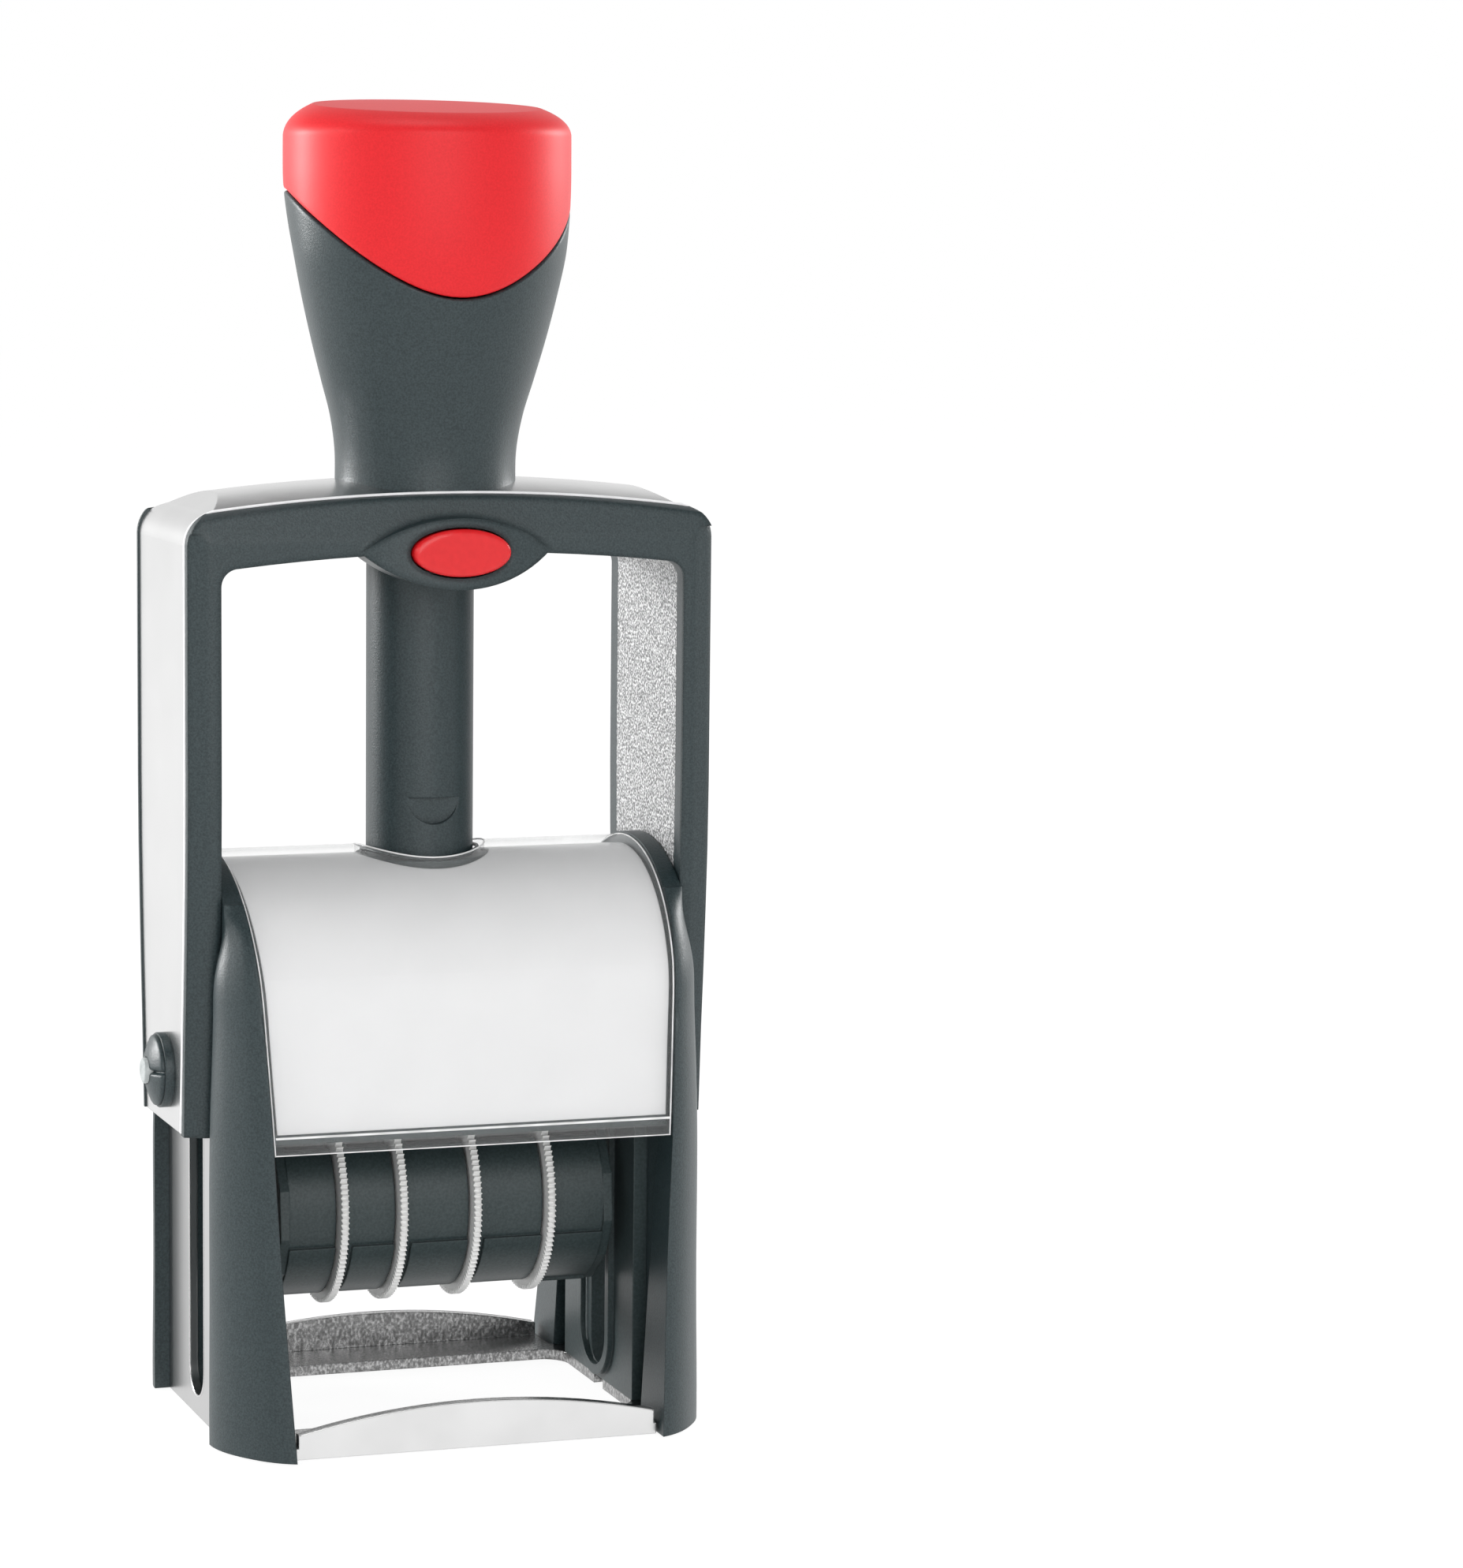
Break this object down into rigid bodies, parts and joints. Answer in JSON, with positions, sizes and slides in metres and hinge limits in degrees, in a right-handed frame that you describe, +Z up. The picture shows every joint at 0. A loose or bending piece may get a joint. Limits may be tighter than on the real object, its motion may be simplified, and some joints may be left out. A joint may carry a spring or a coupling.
{
  "type": "rotary date stamp",
  "caption": "Self-inking date stamp: steel yoke with tall grip slides over a windowed body and flips a carriage of date bands and thumb wheels onto the paper.",
  "frame": {"origin": "middle of the base on the surface it stands on", "axes": "+Z up along the grip, -Y to the front (cover and lock button), +X to the right"},
  "size_m": [0.0672, 0.0488, 0.1522],
  "materials": {
    "dark_plastic": "fine spark-eroded texture, dark grey-green",
    "inner_plastic": "plain moulded, darker",
    "red_plastic": "satin red, fine texture",
    "polished_steel": "polished strip, soft reflections",
    "silver_casting": "coarse sparkling texture",
    "zinc": "plain zinc plated",
    "spring_steel": "drawn wire",
    "grey_rivet": "light grey, slightly glossy",
    "clear_plastic": "clear polished window",
    "white_card": "smooth white card",
    "off_white_plastic": "off-white moulded",
    "band_rubber": "black rubber",
    "ink_felt": "felt soaked with dark ink"
  },
  "bodies": {
    "body": {"base_frame": "polished_steel", "base_screws": "zinc", "clear_cover": "clear_plastic", "guide_tube": "dark_plastic", "label_card": "white_card", "left_inner_guide": "inner_plastic", "left_side_plate": "polished_steel", "left_side_shell": "dark_plastic", "return_spring": "spring_steel", "right_inner_guide": "inner_plastic", "right_side_plate": "polished_steel", "right_side_shell": "dark_plastic", "spring_seat": "inner_plastic", "top_housing": "inner_plastic"},
    "handle": {"yoke_core": "silver_casting", "yoke_strap": "polished_steel", "yoke_front_trim": "dark_plastic", "yoke_back_trim": "dark_plastic", "yoke_bush": "inner_plastic", "grip": "dark_plastic", "grip_cap": "red_plastic", "grip_screws": "zinc", "plunger_rod": "zinc", "axle_pins": "zinc", "pin_rollers": "off_white_plastic", "cap_rivets": "grey_rivet", "left_axle_cap": "dark_plastic", "right_axle_cap": "dark_plastic", "button_spring": "spring_steel"},
    "lock": {"lock_button": "red_plastic", "lock_latch": "inner_plastic"},
    "die": {"carriage_frame": "inner_plastic", "flip_cams": "inner_plastic", "print_anvil": "inner_plastic", "wheel_axle": "zinc", "band_springs": "spring_steel", "band_day_tens": "band_rubber", "band_day_units": "band_rubber", "band_month": "band_rubber", "band_year": "band_rubber"},
    "pad_drawer": {"ink_pad_tray": "dark_plastic", "ink_pad": "ink_felt"},
    "thumb_wheel_day_tens": {"wheel_day_tens": "off_white_plastic"},
    "thumb_wheel_day_units": {"wheel_day_units": "off_white_plastic"},
    "thumb_wheel_month": {"wheel_month": "off_white_plastic"},
    "thumb_wheel_year": {"wheel_year": "off_white_plastic"}
  },
  "joints": [
    {"name": "handle_press", "type": "slide", "parent": "body", "child": "handle", "axis": [0, 0, -1], "range_m": [0, 0.029], "stiffness_N_per_m": 180, "springref_m": -0.02, "deforming": ["return_spring"]},
    {"name": "die_flip", "type": "hinge", "parent": "handle", "child": "die", "pos_m": [0, 0, 0.041], "axis": [1, 0, 0], "range_deg": [0, 180]},
    {"name": "lock_press", "type": "slide", "parent": "handle", "child": "lock", "axis": [0, 1, 0], "range_m": [0, 0.0014], "stiffness_N_per_m": 400, "springref_m": -0.001, "deforming": ["button_spring"]},
    {"name": "pad_slide", "type": "slide", "parent": "body", "child": "pad_drawer", "axis": [0, 1, 0], "range_m": [0, 0.04]},
    {"name": "turn_day_tens", "type": "hinge", "parent": "die", "child": "thumb_wheel_day_tens", "pos_m": [0, 0, 0.025], "axis": [1, 0, 0], "continuous": true},
    {"name": "turn_day_units", "type": "hinge", "parent": "die", "child": "thumb_wheel_day_units", "pos_m": [0, 0, 0.025], "axis": [1, 0, 0], "continuous": true},
    {"name": "turn_month", "type": "hinge", "parent": "die", "child": "thumb_wheel_month", "pos_m": [0, 0, 0.025], "axis": [1, 0, 0], "continuous": true},
    {"name": "turn_year", "type": "hinge", "parent": "die", "child": "thumb_wheel_year", "pos_m": [0, 0, 0.025], "axis": [1, 0, 0], "continuous": true}
  ],
  "couplings": [
    {"joint": "die_flip", "follows": "handle_press", "rad_per_m": 108.33}
  ]
}
